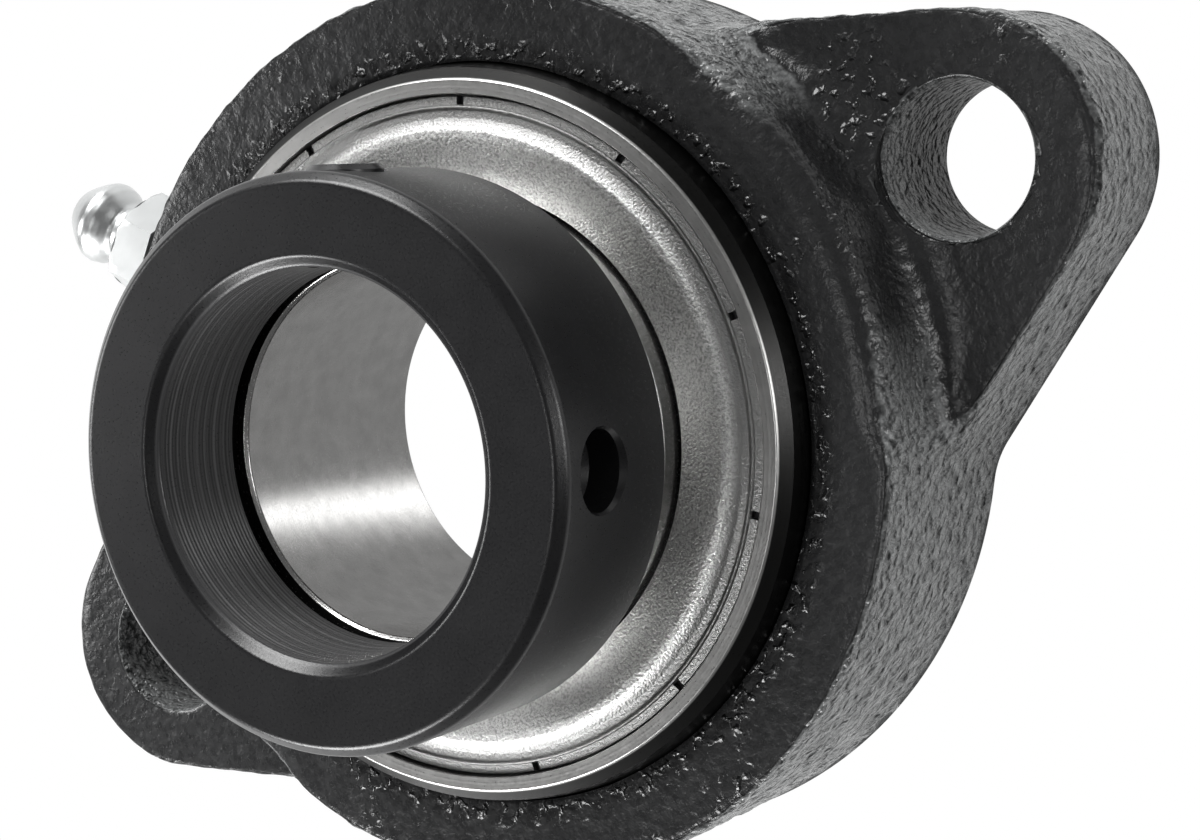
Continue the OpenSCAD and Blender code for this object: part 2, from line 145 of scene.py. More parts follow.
# %% Turned piece
def turned(name, corners, cols, longest, sharp=40.0):
    """A ring turned about the shaft's line: x = shift + r cos(t), y = r sin(t), z = z, for each
    point (r, z, shift) of the closed outline and t once round. Outlines run anticlockwise."""
    outline = along(soften(corners), longest)
    t = np.linspace(0, 2 * math.pi, cols, endpoint=False)
    r, z, shift = (outline[:, i][:, None] for i in range(3))
    points = np.stack([shift + r * np.cos(t), r * np.sin(t), z + 0 * t], -1).reshape(-1, 3)
    obj = new_mesh(name, points, grid_faces(len(outline), cols, True), sharp)
    print(f"{name}: {len(outline)} rows x {cols} columns")
    return obj


# %% [markdown]
# ## Rough ground: a field of waves
# Sand-cast iron is uneven at several sizes at once. A sum of many plane waves with random
# directions and phases gives such a surface everywhere, with no grid of its own to show. The seed
# is fixed, so the casting is the same each time.

# %% Field of waves
def waves(points, shortest, longest, count, seed):
    """Sum of count sine waves of random direction, phase and length, scaled to about -1 to 1:
    sum of sin(2 pi p.d / length + phase) over the square root of count."""
    rng = np.random.default_rng(seed)
    direction = rng.normal(size=(count, points.shape[-1]))
    direction /= np.linalg.norm(direction, axis=1)[:, None]
    length = shortest * (longest / shortest) ** rng.random(count)
    phase = rng.random(count) * 2 * math.pi
    angle = points @ (direction * (2 * math.pi / length)[:, None]).T + phase
    return np.sin(angle).sum(-1) / math.sqrt(count)


# %% [markdown]
# ## The housing's plan
# Seen from the front, the casting is a round boss with a lug on either side. Each quarter of its
# edge is four curves in turn: the lug's round end, a straight flank, a hollow corner and the boss.
# In polar form each is a distance from the shaft's line at an angle, so one function gives all.

# %% Plan outline
BOSS_R, BOSS_H = 37.6, 21.75
LUG_X, LUG_R, LUG_T = 45.25, 11.8, 13.5  # a lug's centre, end radius and thickness
FLANK = math.radians(28)  # a flank's angle to the line through the bolts
ROOT_R = 8.0  # radius in the corner between flank and boss


def plan_radius(angle):
    """Distance to the edge of the casting at its foot, with a the angle folded into one quarter:
    X cos a + sqrt(R^2 - (X sin a)^2) round the lug's end, reach / cos(90 - flank - a) along the
    flank, F cos(a - b) - sqrt(r^2 - (F sin(a - b))^2) in the corner, then the boss's radius."""
    a = np.arccos(np.abs(np.cos(angle)))
    reach = LUG_X * math.sin(FLANK) + LUG_R
    corner_far = BOSS_R + ROOT_R
    corner_at = math.pi / 2 - FLANK - math.acos((reach + ROOT_R) / corner_far)
    end = LUG_X * np.cos(a) + np.sqrt(np.maximum(LUG_R ** 2 - (LUG_X * np.sin(a)) ** 2, 0))
    flank = reach / np.maximum(np.cos(math.pi / 2 - FLANK - a), 0.1)
    hollow = corner_far * np.cos(a - corner_at) - np.sqrt(
        np.maximum(ROOT_R ** 2 - (corner_far * np.sin(a - corner_at)) ** 2, 0))
    end_to = math.atan2(LUG_R * math.cos(FLANK), LUG_X + LUG_R * math.sin(FLANK))
    touch_x = corner_far * math.cos(corner_at) - ROOT_R * math.sin(FLANK)
    touch_y = corner_far * math.sin(corner_at) - ROOT_R * math.cos(FLANK)
    flank_to = math.atan2(touch_y, touch_x)
    return np.select([a <= end_to, a <= flank_to, a <= corner_at], [end, flank, hollow], BOSS_R)


def even_angles(count):
    """Angles whose points on the plan's edge lie equally far apart, and the length run so far."""
    fine = np.linspace(0, 2 * math.pi, 20001)
    r = plan_radius(fine)
    x, y = r * np.cos(fine), r * np.sin(fine)
    run = np.concatenate([[0], np.cumsum(np.hypot(np.diff(x), np.diff(y)))])
    at = np.linspace(0, run[-1], count, endpoint=False)
    return np.interp(at, run, fine), at


# %% [markdown]
# ## The housing's section
# At each angle the section runs from the seat's mouth over the boss face, down the boss, over the
# lug's face where there is one, down the edge to the mounting face, back under it and up the seat.
# Where the lug fades out its face tips into the wall, as a pattern maker blends it, so the rows
# never crowd. Sharing rows all the way round keeps the whole casting one even skin.

# %% Section rows
def bend(before, corner, after, reach, steps):
    """Rows of the curve a(1-s)^2 + 2b s(1-s) + c s^2 across a corner, for every column at once."""
    def towards(target):
        line = target - corner
        size = np.linalg.norm(line, axis=-1, keepdims=True)
        return corner + line / size * np.minimum(reach, 0.47 * size[..., 0])[..., None]
    a, c = towards(before), towards(after)
    s = np.linspace(0, 1, steps)[:, None, None]
    return a * (1 - s) ** 2 + 2 * corner * s * (1 - s) + c * s ** 2


def straight(a, b, steps):
    """Rows between a and b, without either end."""
    s = ((np.arange(steps) + 1) / (steps + 1))[:, None, None]
    return a * (1 - s) + b * s


# %% Section of the casting
BOSS_DRAFT = math.tan(math.radians(0.5))
LUG_FADE = 5.0  # a lug is whole where the plan reaches this far past the boss
CROWN_RISE, BRIM_DROP = 4.0, 2.5  # how far its face tips where it fades, at the wall and the edge
SEAT_BACK = SEAT_Z - 10.0  # the seat ends here, behind the ring
LIP_DROP, LIP_OUT = 0.25, 0.35  # the bevel between the seat and the boss's face
CROWN_ROUND = 4.2  # how far the hollow between wall and lug reaches
BASE_ROUND = 0.4


def lug_share(angle):
    """0 where the casting is only boss, 1 where a lug stands out, smooth between."""
    s = np.clip((plan_radius(angle) - BOSS_R) / LUG_FADE, 0, 1)
    return s * s * (3 - 2 * s)


def housing_section(angle):
    """(rows, columns, 2) of r and z: the closed section of the casting at each angle."""
    foot, lug = plan_radius(angle), lug_share(angle)

    def point(r, z):
        return np.stack([r * np.ones_like(angle), z * np.ones_like(angle)], -1)

    crown_z, brim_z = LUG_T + CROWN_RISE * (1 - lug), LUG_T - BRIM_DROP * (1 - lug)
    mouth_r = math.sqrt(SEAT_R ** 2 - (BOSS_H - SEAT_Z) ** 2)
    back_r = math.sqrt(SEAT_R ** 2 - (SEAT_Z - SEAT_BACK) ** 2)
    lip = point(mouth_r + LIP_OUT, BOSS_H)
    edge = point(BOSS_R - BOSS_H * BOSS_DRAFT, BOSS_H)
    crown = point(BOSS_R - crown_z * BOSS_DRAFT, crown_z)
    brim = point(foot - brim_z * (BOSS_DRAFT * (1 - 0.6 * lug)), brim_z)
    base, under, inside = point(foot, 0), point(back_r + 1.0, 0), point(back_r, 1.0)
    # the boss's edge is rounder over a lug, and a lug's edge is roundest at its end
    edge_rows = bend(lip, edge, crown, 1.1 + 2.4 * lug, 10)
    crown_rows = bend(edge, crown, brim, CROWN_ROUND, 9)
    brim_rows = bend(crown, brim, base, 0.8 + 1.1 * np.clip((foot - 50) / 6, 0, 1), 9)
    base_rows = bend(brim, base, under, BASE_ROUND, 4)
    z = np.linspace(SEAT_BACK, BOSS_H - LIP_DROP, 16)[:, None]
    seat = point(np.sqrt(SEAT_R ** 2 - (z - SEAT_Z) ** 2), z)
    return np.concatenate([
        lip[None], straight(lip, edge_rows[0], 15), edge_rows,
        straight(edge_rows[-1], crown_rows[0], 15), crown_rows,
        straight(crown_rows[-1], brim_rows[0], 24), brim_rows,
        straight(brim_rows[-1], base_rows[0], 20), base_rows,
        straight(base_rows[-1], under, 8), under[None], inside[None], seat], 0)


# %% [markdown]
# ## The housing's skin
# Sand leaves slow swells and small lumps on every cast surface, and a finer ripple on the walls,
# where the sand was rammed against the pattern. Each point is moved inwards along its normal by
# such a field, and never outwards, so the casting stays within its drawn size. The mounting face
# and the seat were cut, and stay plain.

# %% Housing skin
HOUSING_COLS = 720
CUT_Z, CUT_R = 0.3, 30.2  # below and inside these a cutter made the surface
SWELL, LUMP, SINK = 0.04, 0.012, 0.07  # how deep the cast surface is worked
RIPPLE, RIPPLE_LUMP, RIPPLE_SINK = 0.08, 0.4, 1.3  # for the walls, the last two as shares of it
DRAWN_OUT = 1.2  # a wall's ripples are this much longer round it than up it


def outward(points):
    """Unit normals of a closed grid, from the cross product of its two directions."""
    along_cols = np.roll(points, -1, 1) - np.roll(points, 1, 1)
    along_rows = np.roll(points, -1, 0) - np.roll(points, 1, 0)
    n = np.cross(along_rows, along_cols)
    return n / np.maximum(np.linalg.norm(n, axis=-1, keepdims=True), 1e-9)


angle, run = even_angles(HOUSING_COLS)
r, z = np.moveaxis(housing_section(angle), -1, 0)
skin = np.stack([r * np.cos(angle), r * np.sin(angle), z], -1)
normal = outward(skin)
cast = ((z > CUT_Z) & (r > CUT_R)).astype(float)
side = cast * (r > 33) * np.clip(1.5 - np.abs(normal[..., 2]) * 1.6, 0, 1)
above_lug = np.clip((plan_radius(angle) - 39) / 11, 0, 1) * np.clip((z - LUG_T + 1.2) / 1.5, 0, 1)
swell = waves(skin.reshape(-1, 3), 9, 26, count=40, seed=1).reshape(r.shape)
lumps = waves(skin.reshape(-1, 3), 2.4, 6, count=60, seed=2).reshape(r.shape)
unrolled = np.stack([np.broadcast_to(run / DRAWN_OUT, z.shape), z], -1).reshape(-1, 2)
ripple = waves(unrolled, 1.2, 2.8, count=80, seed=3).reshape(r.shape)
depth = cast * (SWELL * swell + LUMP * lumps - SINK)
depth += side * (1 - above_lug) * RIPPLE * (ripple + RIPPLE_LUMP * lumps - RIPPLE_SINK)
skin = skin + normal * np.minimum(depth, 0)[..., None]
housing = new_mesh("housing_casting", skin.reshape(-1, 3), grid_faces(*r.shape, True)[:, ::-1], 55)
print(f"housing skin: {r.shape[0]} rows x {r.shape[1]} columns, deepest {-depth.min():.2f} mm")

# %% [markdown]
# The skin carries three maps for its finish: how far a point belongs to the rough sides, which
# get a painted reflection of the table, how near it is to the seat's rim, where the face gets
# painted shade, and how far it is sheltered above a lug, where the wall gets no painted
# reflection and stays darker.

# %% Housing maps
RIM_R, RIM_WIDTH = 31.6, 0.9


def add_value(obj, name, values):
    """One number a point, for a material to read by name."""
    data = obj.data.attributes.new(name, "FLOAT", "POINT").data
    data.foreach_set("value", values.astype(np.float32).ravel())
    print(f"{obj.name} map {name}: {values.min():.2f} to {values.max():.2f}")


add_value(housing, "sides", side)
add_value(housing, "sheltered", above_lug)
add_value(housing, "rim", cast * np.exp(-((r - RIM_R) / RIM_WIDTH) ** 2) * (z > BOSS_H - 1))

# %% [markdown]
# ## Holes in the casting
# The bolt holes are cored and the loading slots are cut, and each is a closed shape taken away
# with one Boolean. Its mouth flares a little, because a casting's edges are dressed and painted.
# The result is kept as the mesh, so that nothing is left to work out at render time.

# %% Cutting shapes
def rod(outline, cols, centre, axis):
    """A closed solid of revolution from rows of (radius, distance h along the unit axis n):
    centre + h n + radius (a cos t + b sin t), where a and b stand square to n and each other."""
    side_a = np.cross(axis, [0, 0, 1] if abs(axis[2]) < 0.9 else [1, 0, 0])
    side_a = side_a / np.linalg.norm(side_a)
    side_b = np.cross(axis, side_a)
    radius, h = np.array(outline, float).T[:, :, None, None]
    t = np.linspace(0, 2 * math.pi, cols, endpoint=False)[:, None]
    points = np.array(centre, float) + h * axis + radius * (np.cos(t) * side_a + np.sin(t) * side_b)
    return points.reshape(-1, 3), grid_faces(len(outline), cols, False)


def joined(grids):
    """Points and faces of several grids as those of one."""
    starts = np.cumsum([0] + [len(points) for points, _ in grids])
    faces = [faces + start for (_, faces), start in zip(grids, starts)]
    return np.concatenate([points for points, _ in grids]), np.concatenate(faces)


def merge_doubles(obj):
    """Joins points that lie on each other, which closes seams and poles."""
    bm = bmesh.new()
    bm.from_mesh(obj.data)
    bmesh.ops.remove_doubles(bm, verts=bm.verts, dist=1e-7)
    bmesh.ops.recalc_face_normals(bm, faces=bm.faces)
    bm.to_mesh(obj.data)
    bm.free()


def drilled(obj, tools, name, sharp):
    """Takes the closed shapes away from obj and keeps the result as its mesh."""
    tool = new_mesh(name, *joined(tools))
    merge_doubles(tool)
    cut = obj.modifiers.new("cut", "BOOLEAN")
    cut.operation, cut.object, cut.solver = "DIFFERENCE", tool, "EXACT"
    graph = bpy.context.evaluated_depsgraph_get()
    result = bpy.data.meshes.new_from_object(obj.evaluated_get(graph))
    obj.modifiers.clear()
    old, obj.data = obj.data, result
    bpy.data.meshes.remove(old)
    bpy.data.objects.remove(tool)
    result.set_sharp_from_angle(angle=math.radians(sharp))
    print(f"{obj.name}: {len(result.vertices)} points after {len(tools)} cuts")


# %% [markdown]
# A bolt hole is a straight bore whose mouths open out. A loading slot is as wide as the outer ring
# is, so that the insert can be slid in crosswise and then turned into its seat. The nipple's boss
# is only a flat, spot-faced where the nipple screws in.

# %% Shapes of the holes
BOLT_R, BOLT_FLARE = 6.2, 0.55
SLOT_HALF, SLOT_IN, SLOT_OUT = 8.3, 20.0, 31.2  # half the slot's width, and how far in and out
FLAT_R, FLAT_DEPTH = 6.38, 0.3


def flared(radius, bottom, top, flare):
    """Outline of a straight hole whose two mouths open out by most of a quarter circle:
    r = radius + flare (1 - cos s) at flare (1 - sin s) from the face."""
    s = np.linspace(0, 1, 6)[1:] * math.radians(78)
    open_r, open_z = radius + flare * (1 - np.cos(s)), flare * np.sin(s)
    low = np.stack([open_r[::-1], bottom + flare - open_z[::-1]], -1)
    high = np.stack([open_r, top - flare + open_z], -1)
    start = [[0, bottom - 2], [low[0, 0] + 0.25, bottom - 2]]
    end = [[high[-1, 0] + 0.25, top + 2], [0, top + 2]]
    middle = np.stack([np.full(12, radius), np.linspace(bottom + flare, top - flare, 12)], -1)
    return np.concatenate([start, low, middle, high, end])


def slot_block(sign):
    """The space a loading slot takes, from behind the mounting face up to the seat's middle."""
    x = np.linspace(-SLOT_HALF, SLOT_HALF, 24)
    outer = np.stack([x, np.sqrt(SLOT_OUT ** 2 - x ** 2)], -1)
    inner = np.stack([x[::-1], 0 * x + SLOT_IN], -1)
    ring = np.concatenate([outer, inner])
    low, high = (np.column_stack([ring, np.full(len(ring), h)]) for h in (-1.0, SEAT_Z))
    caps = [np.tile(np.append(ring.mean(0), h), (len(ring), 1)) for h in (-1.0, SEAT_Z)]
    points = np.concatenate([caps[0], low, high, caps[1]]) * [1, sign, 1]
    return points, grid_faces(4, len(ring), False)


def heading(angle):
    """The unit vector away from the shaft's line at an angle."""
    return np.array([math.cos(angle), math.sin(angle), 0])


# %% Drill the housing
nipple_out = heading(NIPPLE_AT)
nipple_foot = nipple_out * (BOSS_R - NIPPLE_Z * BOSS_DRAFT - FLAT_DEPTH) + [0, 0, NIPPLE_Z]
flat_tool = rod([[0, 0], [FLAT_R, 0], [7.2, 3], [0, 3]], 64, nipple_foot, nipple_out)
bolt_hole = flared(BOLT_R, 0, LUG_T, BOLT_FLARE)
bolt_tools = [rod(bolt_hole, 96, (x, 0, 0), np.array([0, 0, 1])) for x in (-LUG_X, LUG_X)]
drilled(housing, bolt_tools + [slot_block(1), slot_block(-1), flat_tool], "housing_cutters", 50)


def map_holes(obj):
    """The cuts' new points have no map of their own: in a bolt hole they count as rough wall."""
    at = np.empty(len(obj.data.vertices) * 3, np.float32)
    obj.data.vertices.foreach_get("co", at)
    at = at.reshape(-1, 3) / MM
    inside = np.hypot(np.abs(at[:, 0]) - LUG_X, at[:, 1]) < BOLT_R + 0.25
    for name, value in (("sides", 1.0), ("sheltered", 0.25)):
        data = obj.data.attributes[name].data
        values = np.empty(len(at), np.float32)
        data.foreach_get("value", values)
        values[inside] = value
        data.foreach_set("value", values)
    print("points inside the bolt holes:", int(inside.sum()))


map_holes(housing)

# %% [markdown]
# ## The rings
# Outer and inner ring are ground steel, turned from one outline each. The outer ring's outside is
# a part of a sphere with a grease groove round its middle. The inner ring's collar end is its cam:
# the same turning, with the centre of its outside moved sideways.

# %% Outer ring
GROOVE_R, GROOVE_HALF = SEAT_R - 0.6, 1.4
OUTER_BORE = 25.6
OUTER_TRACK_R, OUTER_TRACK_HALF = 27.8, 4.1
TRACK_ROUND = 2.2  # how far the ball track's curve reaches from the corner at its bottom
face_r = math.sqrt(RING_R ** 2 - RING_HALF ** 2) - 0.75
recess_r = face_r - 1.15
shelf_front, shelf_back = RING_FRONT - 2.0, RING_BACK + 2.0  # the bottoms of the two recesses


def sphere_rows(z0, z1):
    """Corners on the ring's sphere between two heights: r = sqrt(R^2 - (z - seat)^2)."""
    z = np.linspace(z0, z1, 9)
    return [[math.sqrt(RING_R ** 2 - (h - SEAT_Z) ** 2), h, 0.0, 0.0] for h in z]


outer_ring = turned("outer_ring_turned", [
    [face_r, RING_BACK, 0.08, 0], *sphere_rows(RING_BACK + 1.0, SEAT_Z - 1.6),
    [GROOVE_R, SEAT_Z - GROOVE_HALF, 0, 0], [GROOVE_R, SEAT_Z + GROOVE_HALF, 0, 0],
    *sphere_rows(SEAT_Z + 1.6, RING_FRONT - 1.0), [face_r, RING_FRONT, 0.08, 0],
    [recess_r, RING_FRONT, 0.1, 0], [recess_r, shelf_front, 0.05, 0],
    [OUTER_BORE, shelf_front, 0.1, 0], [OUTER_BORE, SEAT_Z + OUTER_TRACK_HALF, 0.1, 0],
    [OUTER_TRACK_R, SEAT_Z, TRACK_ROUND, 0], [OUTER_BORE, SEAT_Z - OUTER_TRACK_HALF, 0.1, 0],
    [OUTER_BORE, shelf_back, 0.1, 0], [recess_r, shelf_back, 0.05, 0],
    [recess_r, RING_BACK, 0.1, 0]], cols=360, longest=1.5, sharp=30)

# %% Inner ring
BORE_R, LAND_R = 15.0, 20.2  # the shaft's bore, and the outside beside the balls
INNER_BACK, INNER_FRONT = 8.9, 32.7
INNER_TRACK_R, INNER_TRACK_HALF = 18.3, 4.2
BACK_CHAMFER, FRONT_CHAMFER = 0.7, 0.3
cam_from = RING_FRONT + 1.5
inner_ring = turned("inner_ring_turned", [
    [BORE_R + BACK_CHAMFER, INNER_BACK, 0.1, 0], [LAND_R, INNER_BACK, 0.25, 0],
    [LAND_R, SEAT_Z - INNER_TRACK_HALF, 0.1, 0], [INNER_TRACK_R, SEAT_Z, TRACK_ROUND, 0],
    [LAND_R, SEAT_Z + INNER_TRACK_HALF, 0.1, 0], [LAND_R, cam_from, 0.35, 0],
    [CAM_R, cam_from, 0.15, CAM_SHIFT], [CAM_R, INNER_FRONT, 0.3, CAM_SHIFT],
    [BORE_R + FRONT_CHAMFER, INNER_FRONT, 0.1, 0], [BORE_R, INNER_FRONT - FRONT_CHAMFER, 0.1, 0],
    [BORE_R, INNER_BACK + BACK_CHAMFER, 0.1, 0]], cols=300, longest=1.2)

# %% [markdown]
# ## The locking collar
# The collar is bored for the shaft in front and wider, off centre, behind, where it grips the cam.
# Two holes enter its side: a threaded one with the set screw and a blind one for a drift, with
# the cone that a drill leaves at its bottom.

# %% Collar
COLLAR_R, COLLAR_BORE = 22.25, 15.05
COLLAR_BACK, COLLAR_FRONT = 29.1, 44.6
RECESS_END = 34.5  # where the land that runs on the shaft starts
HOLE_Z = 38.8
SCREW_AT, DRIFT_AT = math.radians(61), math.radians(-29)
grip_r = CAM_R + 0.05
collar = turned("locking_collar_turned", [
    [grip_r, COLLAR_BACK, 0.12, CAM_SHIFT], [COLLAR_R - 0.5, COLLAR_BACK, 0.1, 0],
    [COLLAR_R, COLLAR_BACK + 0.5, 0.1, 0], [COLLAR_R, COLLAR_FRONT - 0.8, 0.25, 0],
    [COLLAR_R - 0.8, COLLAR_FRONT, 0.25, 0], [COLLAR_BORE + 0.9, COLLAR_FRONT, 0.2, 0],
    [COLLAR_BORE, COLLAR_FRONT - 0.9, 0.12, 0], [COLLAR_BORE, RECESS_END, 0.12, 0],
    [grip_r, RECESS_END, 0.1, CAM_SHIFT]], cols=360, longest=0.8)
screw_hole = [[0, 10], [3.05, 10], [3.05, 21.6], [3.5, 22.3], [3.5, 24], [0, 24]]
drift_hole = [[0, 17.6], [3.1, 19.15], [3.1, 21.75], [3.3, 22.0], [3.6, 22.4], [3.6, 24], [0, 24]]
collar_tools = [rod(hole, 64, (0, 0, HOLE_Z), heading(at))
                for hole, at in ((screw_hole, SCREW_AT), (drift_hole, DRIFT_AT))]
drilled(collar, collar_tools, "collar_cutters", 35)

# %% [markdown]
# ## The shields
# Each shield is stamped from sheet: a rim of tabs snapped into the outer ring, a groove, a
# rounded shoulder and a shallow cone that ends close to the inner ring. The dish is one turning,
# and the tabs are the same strip of section carried part of the way round, closed at both ends.

# %% Shield outline
SHEET = 0.5
RIM_TOP = RING_FRONT - 0.25
# the dish's front from its hole to its rim: radius, and height over the rim's top
DISH = [[20.5, -0.62], [22.4, -0.12], [23.8, 0.27], [24.5, 0.44], [25.1, 0.44], [25.7, 0.16],
        [26.1, -0.1], [26.7, -0.16], [26.9, 0.02], [27.05, 0.02], [27.2, -0.3]]


def dish_front():
    """The dish's front in 100 even steps, smoothed as a press would: each point moves towards its
    neighbours, (a + 2b + c) / 4, three times."""
    corners = np.array(DISH) + [0, RIM_TOP]
    run = np.concatenate([[0], np.cumsum(np.linalg.norm(np.diff(corners, axis=0), axis=1))])
    at = np.linspace(0, 1, 100) * run[-1]
    line = np.stack([np.interp(at, run, corners[:, i]) for i in (0, 1)], -1)
    for _ in range(3):
        line[1:-1] = (line[:-2] + 2 * line[1:-1] + line[2:]) / 4
    return line


def sheet_outline(front):
    """Closed outline of the sheet: out along its rear, back along its front."""
    both = np.concatenate([front - [0, SHEET], front[::-1]])
    return soften(np.column_stack([both, np.full(len(both), 0.12), np.zeros(len(both))]), 2)[:, :2]


print(f"shield: {len(DISH)} corners, {len(sheet_outline(dish_front()))} points round the sheet")

# %% Shields
TABS, SLIT, FIRST_SLIT = 11, 0.65, math.radians(26)
TURN = 2 * math.pi / TABS
TAB_IN, TAB_MIDDLE, TAB_OUT = 26.95, 27.3, recess_r - 0.15
DISH_COLS, TAB_ROWS = 300, 40


def shield_tab(start):
    """One tab: its section carried round from that angle, closed at both ends to a point."""
    tab = soften([[TAB_IN, RIM_TOP - 0.7, 0.05, 0], [TAB_OUT, RIM_TOP - 0.9, 0.05, 0],
                  [TAB_OUT, RIM_TOP - 0.25, 0.1, 0], [TAB_IN, RIM_TOP - 0.15, 0.05, 0]])[:, :2]
    a = np.linspace(start, start + TURN - SLIT / TAB_MIDDLE, TAB_ROWS)
    a = np.concatenate([a[:1], a, a[-1:]])[:, None]
    cap = np.tile(tab.mean(0), (len(tab), 1))
    rows = np.concatenate([[cap], [tab] * TAB_ROWS, [cap]])
    points = np.stack([rows[..., 0] * np.cos(a), rows[..., 0] * np.sin(a), rows[..., 1]], -1)
    return points.reshape(-1, 3), grid_faces(len(a), len(tab), False)[:, ::-1]


def shield(name, flip):
    """Dish and tabs as one mesh. flip mirrors it about the middle of the balls for the rear."""
    t = np.linspace(0, 2 * math.pi, DISH_COLS, endpoint=False)
    outline = sheet_outline(dish_front())
    r, z = outline[:, :1], outline[:, 1:]
    dish = np.stack([r * np.cos(t), r * np.sin(t), z + 0 * t], -1).reshape(-1, 3)
    starts = FIRST_SLIT + np.arange(TABS) * TURN + SLIT / 2 / TAB_MIDDLE
    points, faces = joined([(dish, grid_faces(len(outline), DISH_COLS, True))]
                           + [shield_tab(start) for start in starts])
    if flip:
        points = points * [1, 1, -1] + [0, 0, 2 * SEAT_Z]
        faces = faces[:, ::-1]
    obj = new_mesh(name, points, faces)
    merge_doubles(obj)
    obj.data.set_sharp_from_angle(angle=math.radians(35))
    print(f"{name}: dish of {len(outline)} rows and {TABS} tabs")
    return obj


front_shield = shield("front_shield_stamped", False)
rear_shield = shield("rear_shield_stamped", True)

# %% [markdown]
# ## The grease nipple
# The nipple is turned from hexagon bar, so its section is round in the head and six-sided at the
# foot. One radius function does both: the smaller of the outline's radius and the distance to the
# hexagon's flat. A check ball closes the mouth.

# %% Nipple
FLATS_HALF = 4.25  # half the width across the hexagon's flats
# outlines of (radius, distance from the flat): the six-sided foot, then neck, head and mouth
FOOT = [[0, -0.02], [4.9, -0.02], [4.9, 3.25], [4.5, 3.6]]
HEAD = [[3.8, 3.62], [3.1, 4.1], [2.7, 4.9], [2.62, 5.4], [2.72, 5.8], [3.2, 6.4], [3.62, 7.05],
        [3.8, 7.75], [3.76, 8.2], [3.5, 8.75], [3.0, 9.5], [2.5, 10.15], [2.2, 10.5], [1.9, 10.6],
        [0.95, 10.6], [0.75, 10.45], [0.72, 9.8], [0, 9.8]]


def nipple():
    """Points at distance min(r, h / cos(a)) from the nipple's line, where a is the angle to the
    nearest flat's middle and h half the width across flats, applied to the foot's rows only."""
    s = np.linspace(0, len(FOOT + HEAD) - 1, (len(FOOT + HEAD) - 1) * 4 + 1)
    outline = np.array(FOOT + HEAD, float)
    radius, h = (np.interp(s, np.arange(len(outline)), outline[:, i])[:, None] for i in (0, 1))
    t = np.linspace(0, 2 * math.pi, 96, endpoint=False)
    nearest = (t + math.pi / 6) % (math.pi / 3) - math.pi / 6
    in_foot = s[:, None] <= len(FOOT) - 1
    r = np.where(in_foot, np.minimum(radius, FLATS_HALF / np.cos(nearest)), radius + 0 * t)
    up = np.array([0, 0, 1.0])
    across = np.cross(up, nipple_out)
    around = np.cos(t)[:, None] * up + np.sin(t)[:, None] * across
    points = nipple_foot + h[..., None] * nipple_out + r[..., None] * around
    faces = grid_faces(len(s), len(t), False)
    obj = new_mesh("grease_nipple_turned", points.reshape(-1, 3), faces)
    merge_doubles(obj)
    obj.data.set_sharp_from_angle(angle=math.radians(32))
    print(f"{obj.name}: {len(obj.data.vertices)} points")
    return obj


grease_nipple = nipple()

# %% [markdown]
# ## Which piece stands for which
# Each new skin takes over from its CAD node and rides on the same body, so that the joints carry
# it. The nodes that stay, such as balls and cage, need only a finish.

# %% Ride and replace
for piece, node, body, slot in [
        (housing, "housing", "housing", "cast_iron"),
        (outer_ring, "outer_ring", "outer_ring", "ring_steel"),
        (inner_ring, "inner_ring", "inner_ring", "ring_steel"),
        (collar, "locking_collar", "locking_collar", "black_oxide"),
        (front_shield, "front_shield", "outer_ring", "pressed_steel"),
        (rear_shield, "rear_shield", "outer_ring", "pressed_steel"),
        (grease_nipple, "nipple_body", "housing", "zinc_plate")]:
    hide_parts(node)
    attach(piece, body)
    print(piece.name, "stands for", node)

# %% [markdown]
# ## Finishes
# Every finish is a Principled shader with its plain numbers set on its own sockets, and with
# noise that varies colour, gloss and bump. The helpers below only save typing: a material, a node
# with its settings, and the few kinds of node that every finish uses.

# %% Materials and nodes
def finish(name, color, metallic, roughness, specular=0.5):
    """A new material and its tree, with one colour, metal or not, roughness and reflectance."""
    mat = bpy.data.materials.new(name)
    mat.use_nodes = True
    shader = mat.node_tree.nodes["Principled BSDF"]
    shader.inputs["Base Color"].default_value = (*color, 1)
    shader.inputs["Metallic"].default_value = metallic
    shader.inputs["Roughness"].default_value = roughness
    shader.inputs["Specular IOR Level"].default_value = specular
    return mat, mat.node_tree, shader


def node(tree, kind, links=(), **settings):
    """A node of that kind. settings go to its inputs by name, with _ for a space; links pair an
    input's name with an output socket."""
    made = tree.nodes.new(kind)
    for key, value in settings.items():
        if hasattr(made, key):
            setattr(made, key, value)
        else:
            made.inputs[key.replace("_", " ")].default_value = value
    for name, socket in links:
        tree.links.new(socket, made.inputs[name])
    return made


def feed(tree, target, inputs):
    """Each socket or number goes into the target's input of that name or number."""
    for key, value in inputs.items():
        if hasattr(value, "is_linked"):
            tree.links.new(value, target.inputs[key])
        else:
            target.inputs[key].default_value = value


def wear(pieces, mat):
    """Makes mat the only finish of each piece."""
    for obj in pieces:
        obj.data.materials.clear()
        obj.data.materials.append(mat)
    print(f"{mat.name}: {len(mat.node_tree.nodes)} nodes, worn by {len(pieces)}")


# %% Places, noise and sums
def place(tree):
    """Object coordinates, which are the frame's metres."""
    return tree.nodes.new("ShaderNodeTexCoord").outputs["Object"]


def noise(tree, vector, scale, detail=3.0, roughness=0.5):
    """Noise of so many waves a metre, from 0 to 1."""
    return node(tree, "ShaderNodeTexNoise", [("Vector", vector)], Scale=scale, Detail=detail,
                Roughness=roughness).outputs["Fac"]


def ramp(tree, value, low, high, to_low=0.0, to_high=1.0):
    """value carried from the range low to high onto the range to_low to to_high, held there."""
    made = tree.nodes.new("ShaderNodeMapRange")
    feed(tree, made, dict(enumerate((value, low, high, to_low, to_high))))
    return made.outputs["Result"]


